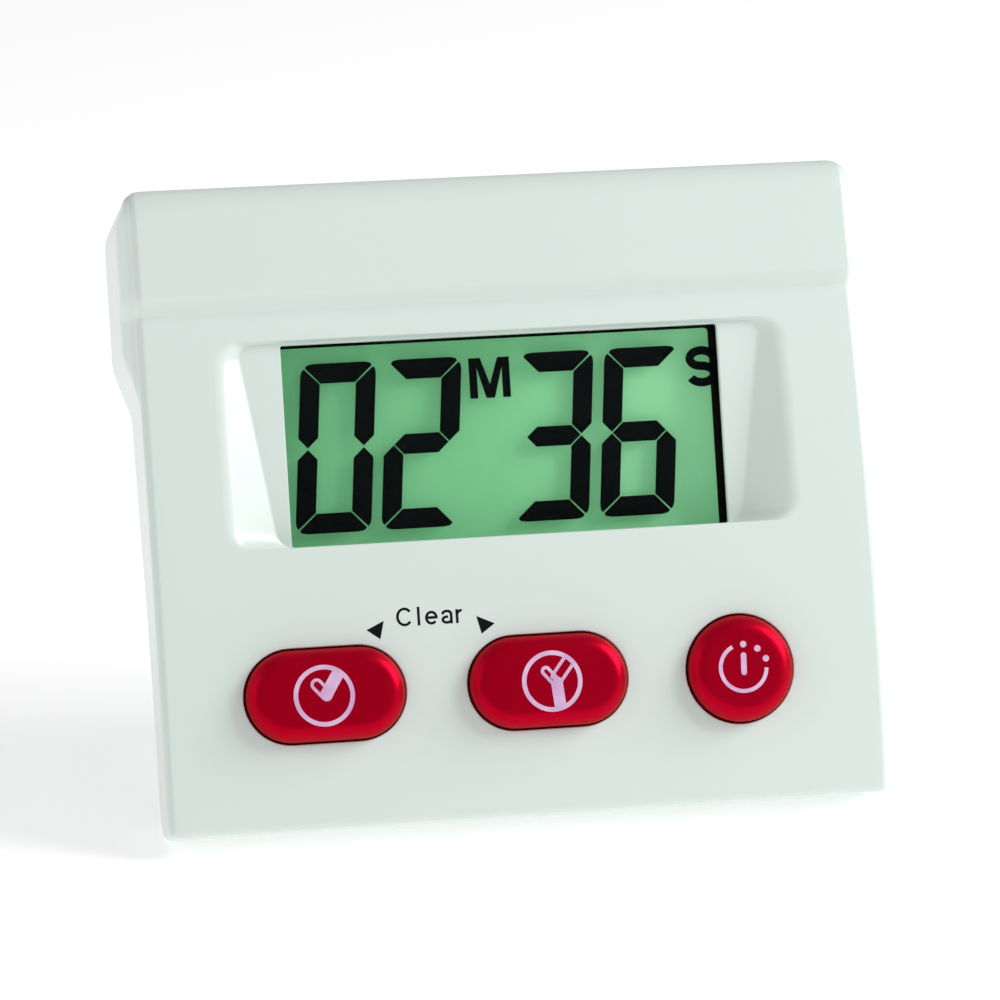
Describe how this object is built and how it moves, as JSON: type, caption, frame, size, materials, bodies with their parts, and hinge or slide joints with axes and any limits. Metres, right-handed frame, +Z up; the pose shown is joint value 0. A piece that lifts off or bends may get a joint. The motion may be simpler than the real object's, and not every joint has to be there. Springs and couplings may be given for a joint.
{
  "type": "countdown lab timer",
  "caption": "Pocket countdown timer: leaning white case with a battery roll on top, LCD in a sloping recess, red push buttons, fold-out stand and snap-off battery door.",
  "frame": {"origin": "centre of the bounding box in x and y, on the surface the timer stands on", "axes": "+X to the right of the display seen from the front, +Y towards the back, +Z up; the front faces -Y and leans back 22 degrees"},
  "size_m": [0.0732, 0.041, 0.06],
  "materials": {
    "white_shell": "moulded ABS, glossy with a faint green cast",
    "red_cap": "glossy red moulded cap",
    "steel": "nickel plated spring steel",
    "silicone": "matte conductive silicone",
    "carbon": "carbon loaded contact",
    "lcd_film": "satin polarizing film over the display",
    "lcd_glass": "clear thin glass",
    "lcd_backing": "grey green reflector film",
    "dark_plastic": "black moulded carrier",
    "board": "solder mask over glass fibre",
    "epoxy": "cured black epoxy",
    "ceramic_chip": "fired ceramic",
    "brass_disc": "thin rolled brass",
    "cell_jacket": "printed steel can",
    "red_wire": "PVC insulation",
    "black_wire": "PVC insulation",
    "nickel": "nickel plated magnet",
    "screw_steel": "zinc plated steel"
  },
  "bodies": {
    "case": {"front_casing": "white_shell", "back_casing": "white_shell", "stand_pin": "steel", "keypad_mat": "silicone", "lcd_front_polarizer": "lcd_film", "lcd_front_glass": "lcd_glass", "lcd_rear_glass": "lcd_glass", "lcd_reflector": "lcd_backing", "lcd_holder": "dark_plastic", "zebra_connector": "silicone", "circuit_board": "board", "chip_blob": "epoxy", "quartz_crystal": "steel", "capacitor_1": "ceramic_chip", "capacitor_2": "ceramic_chip", "buzzer_disc": "brass_disc", "buzzer_ceramic": "ceramic_chip", "battery_cell": "cell_jacket", "positive_contact": "steel", "negative_contact": "steel", "battery_spring": "steel", "positive_wire": "red_wire", "negative_wire": "black_wire", "magnet_left": "nickel", "magnet_right": "nickel", "case_screw_1": "screw_steel", "case_screw_2": "screw_steel", "case_screw_3": "screw_steel", "case_screw_4": "screw_steel", "board_screw_1": "screw_steel", "board_screw_2": "screw_steel"},
    "minute_button": {"minute_button": "red_cap", "minute_key_stub": "silicone", "minute_contact_pill": "carbon"},
    "second_button": {"second_button": "red_cap", "second_key_stub": "silicone", "second_contact_pill": "carbon"},
    "start_button": {"start_button": "red_cap", "start_key_stub": "silicone", "start_contact_pill": "carbon"},
    "stand": {"stand_leg": "white_shell"},
    "battery_door": {"battery_door": "white_shell"}
  },
  "joints": [
    {"name": "minute_press", "type": "slide", "parent": "case", "child": "minute_button", "axis": [0, 0.9272, -0.3746], "range_m": [0, 0.001], "stiffness_N_per_m": 800, "springref_m": -0.0005},
    {"name": "second_press", "type": "slide", "parent": "case", "child": "second_button", "axis": [0, 0.9272, -0.3746], "range_m": [0, 0.001], "stiffness_N_per_m": 800, "springref_m": -0.0005},
    {"name": "start_press", "type": "slide", "parent": "case", "child": "start_button", "axis": [0, 0.9272, -0.3746], "range_m": [0, 0.001], "stiffness_N_per_m": 800, "springref_m": -0.0005},
    {"name": "stand_hinge", "type": "hinge", "parent": "case", "child": "stand", "pos_m": [0, 0.00506, 0.03087], "axis": [1, 0, 0], "range_deg": [-46.7, 0]},
    {"name": "door_release", "type": "slide", "parent": "case", "child": "battery_door", "axis": [0, 0.9272, -0.3746], "range_m": [0, 0.015]}
  ]
}
